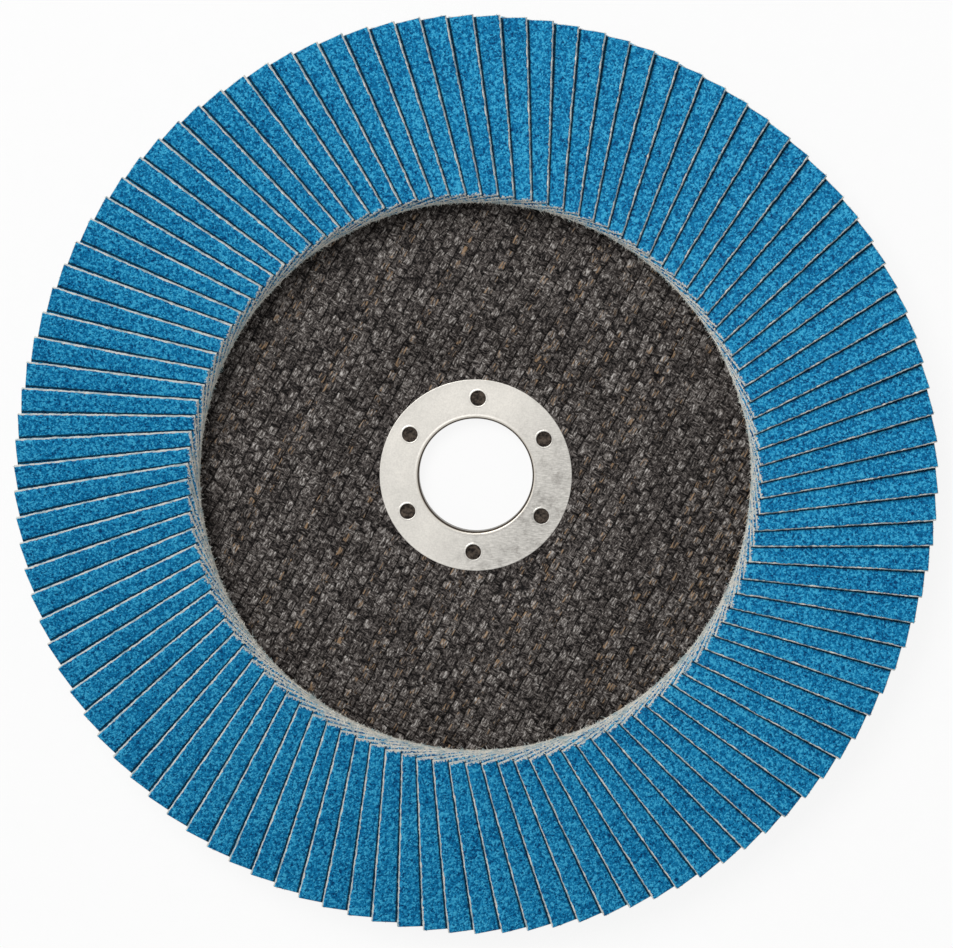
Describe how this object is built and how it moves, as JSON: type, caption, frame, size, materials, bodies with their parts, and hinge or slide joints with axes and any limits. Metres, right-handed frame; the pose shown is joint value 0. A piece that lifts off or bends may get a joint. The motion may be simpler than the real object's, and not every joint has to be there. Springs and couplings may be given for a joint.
{
  "type": "flap disc",
  "caption": "Round flap disc for an angle grinder: overlapping abrasive-cloth flaps glued in a fan round a dished glass-fibre plate with a steel-lined centre hole.",
  "frame": {"origin": "centre of the bore on the back face of the hub, which seats against the grinder's flange", "axes": "+Z along the axis of rotation, towards the abrasive side; +X and +Y across the disc"},
  "size_m": [0.18, 0.18, 0.014],
  "materials": {
    "resin_plate": "woven glass cloth in dark resin, matte",
    "ring_steel": "satin, plated sheet",
    "adhesive": "cured resin, dull gloss",
    "abrasive_cloth": "blue grit on stiff cloth"
  },
  "bodies": {
    "root": {"backing_plate": "resin_plate", "centre_ring": "ring_steel", "adhesive_bed": "adhesive", "flap_pair_01": "abrasive_cloth", "flap_pair_02": "abrasive_cloth", "flap_pair_03": "abrasive_cloth", "flap_pair_04": "abrasive_cloth", "flap_pair_05": "abrasive_cloth", "flap_pair_06": "abrasive_cloth", "flap_pair_07": "abrasive_cloth", "flap_pair_08": "abrasive_cloth", "flap_pair_09": "abrasive_cloth", "flap_pair_10": "abrasive_cloth", "flap_pair_11": "abrasive_cloth", "flap_pair_12": "abrasive_cloth", "flap_pair_13": "abrasive_cloth", "flap_pair_14": "abrasive_cloth", "flap_pair_15": "abrasive_cloth", "flap_pair_16": "abrasive_cloth", "flap_pair_17": "abrasive_cloth", "flap_pair_18": "abrasive_cloth", "flap_pair_19": "abrasive_cloth", "flap_pair_20": "abrasive_cloth", "flap_pair_21": "abrasive_cloth", "flap_pair_22": "abrasive_cloth", "flap_pair_23": "abrasive_cloth", "flap_pair_24": "abrasive_cloth", "flap_pair_25": "abrasive_cloth", "flap_pair_26": "abrasive_cloth", "flap_pair_27": "abrasive_cloth", "flap_pair_28": "abrasive_cloth", "flap_pair_29": "abrasive_cloth", "flap_pair_30": "abrasive_cloth", "flap_pair_31": "abrasive_cloth", "flap_pair_32": "abrasive_cloth", "flap_pair_33": "abrasive_cloth", "flap_pair_34": "abrasive_cloth", "flap_pair_35": "abrasive_cloth", "flap_pair_36": "abrasive_cloth", "flap_pair_37": "abrasive_cloth", "flap_pair_38": "abrasive_cloth", "flap_pair_39": "abrasive_cloth", "flap_pair_40": "abrasive_cloth", "flap_pair_41": "abrasive_cloth", "flap_pair_42": "abrasive_cloth", "flap_pair_43": "abrasive_cloth", "flap_pair_44": "abrasive_cloth", "flap_pair_45": "abrasive_cloth", "flap_pair_46": "abrasive_cloth", "flap_pair_47": "abrasive_cloth", "flap_pair_48": "abrasive_cloth", "flap_pair_49": "abrasive_cloth", "flap_pair_50": "abrasive_cloth", "flap_pair_51": "abrasive_cloth", "flap_pair_52": "abrasive_cloth", "flap_pair_53": "abrasive_cloth", "flap_pair_54": "abrasive_cloth", "flap_pair_55": "abrasive_cloth"}
  },
  "joints": []
}
